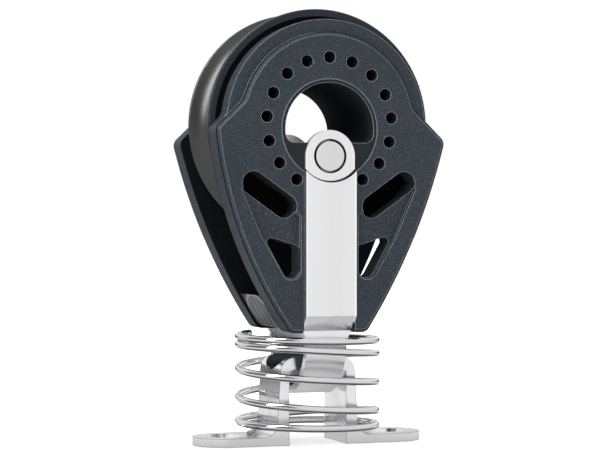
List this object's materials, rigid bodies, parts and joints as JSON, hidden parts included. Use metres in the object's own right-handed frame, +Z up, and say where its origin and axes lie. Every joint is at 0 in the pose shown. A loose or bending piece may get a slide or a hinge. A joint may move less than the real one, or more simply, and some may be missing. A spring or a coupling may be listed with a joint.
{
  "type": "stand-up single block",
  "caption": "Stand-up single rope block: moulded cheeks round a ball-bearing sheave, a bent steel strap looped under a two-hole pad eye, and a coil spring that holds it upright.",
  "frame": {"origin": "centre of the pad eye's footprint, on the deck that its feet stand on", "axes": "+Z up from the deck along the upright block; +Y along the sheave's axle, away from the near cheek; +X along the row of the two deck holes"},
  "size_m": [0.0424, 0.0256, 0.0755],
  "materials": {
    "cheek_nylon": "moulded, fine grain",
    "core_nylon": "moulded, fine grain",
    "head_nylon": "moulded, fine ribs",
    "sheave_resin": "smooth satin",
    "ball_resin": "polished resin",
    "strap_steel": "fine satin",
    "rivet_steel": "fine satin",
    "eye_steel": "mirror polished stainless",
    "spring_steel": "bright drawn wire"
  },
  "bodies": {
    "pad_eye": {"pad_eye": "eye_steel"},
    "spring": {"stand_up_spring": "spring_steel"},
    "block": {"near_cheek": "cheek_nylon", "far_cheek": "cheek_nylon", "hub_core": "core_nylon", "head_block": "head_nylon", "strap": "strap_steel", "hub_rivet": "rivet_steel"},
    "sheave": {"sheave": "sheave_resin"},
    "main_ball_row": {"main_ball_01": "ball_resin", "main_ball_02": "ball_resin", "main_ball_03": "ball_resin", "main_ball_04": "ball_resin", "main_ball_05": "ball_resin", "main_ball_06": "ball_resin", "main_ball_07": "ball_resin", "main_ball_08": "ball_resin", "main_ball_09": "ball_resin", "main_ball_10": "ball_resin", "main_ball_11": "ball_resin", "main_ball_12": "ball_resin", "main_ball_13": "ball_resin", "main_ball_14": "ball_resin", "main_ball_15": "ball_resin", "main_ball_16": "ball_resin", "main_ball_17": "ball_resin", "main_ball_18": "ball_resin", "main_ball_19": "ball_resin", "main_ball_20": "ball_resin", "main_ball_21": "ball_resin", "main_ball_22": "ball_resin", "main_ball_23": "ball_resin"},
    "near_ball_row": {"near_side_balls": "ball_resin"},
    "far_ball_row": {"far_side_balls": "ball_resin"}
  },
  "joints": [
    {"name": "lean_sideways", "type": "hinge", "parent": "pad_eye", "child": "spring", "pos_m": [0, 0, -0.0009], "axis": [0, 1, 0], "range_deg": [-6, 6], "stiffness_Nm_per_rad": 0.15, "deforming": ["stand_up_spring"]},
    {"name": "lean_fore_aft", "type": "hinge", "parent": "spring", "child": "block", "pos_m": [0, 0, 0.0191], "axis": [1, 0, 0], "range_deg": [-35, 35], "stiffness_Nm_per_rad": 0.15, "deforming": ["stand_up_spring"]},
    {"name": "sheave_spin", "type": "hinge", "parent": "block", "child": "sheave", "pos_m": [0, 0, 0.0555], "axis": [0, 1, 0], "continuous": true},
    {"name": "main_ball_orbit", "type": "hinge", "parent": "block", "child": "main_ball_row", "pos_m": [0, 0, 0.0555], "axis": [0, 1, 0], "continuous": true},
    {"name": "near_ball_orbit", "type": "hinge", "parent": "block", "child": "near_ball_row", "pos_m": [0, 0, 0.0555], "axis": [0, 1, 0], "continuous": true},
    {"name": "far_ball_orbit", "type": "hinge", "parent": "block", "child": "far_ball_row", "pos_m": [0, 0, 0.0555], "axis": [0, 1, 0], "continuous": true}
  ],
  "couplings": [
    {"joint": "main_ball_orbit", "follows": "sheave_spin", "ratio": 0.56422},
    {"joint": "near_ball_orbit", "follows": "sheave_spin", "ratio": 0.5},
    {"joint": "far_ball_orbit", "follows": "sheave_spin", "ratio": 0.5}
  ]
}
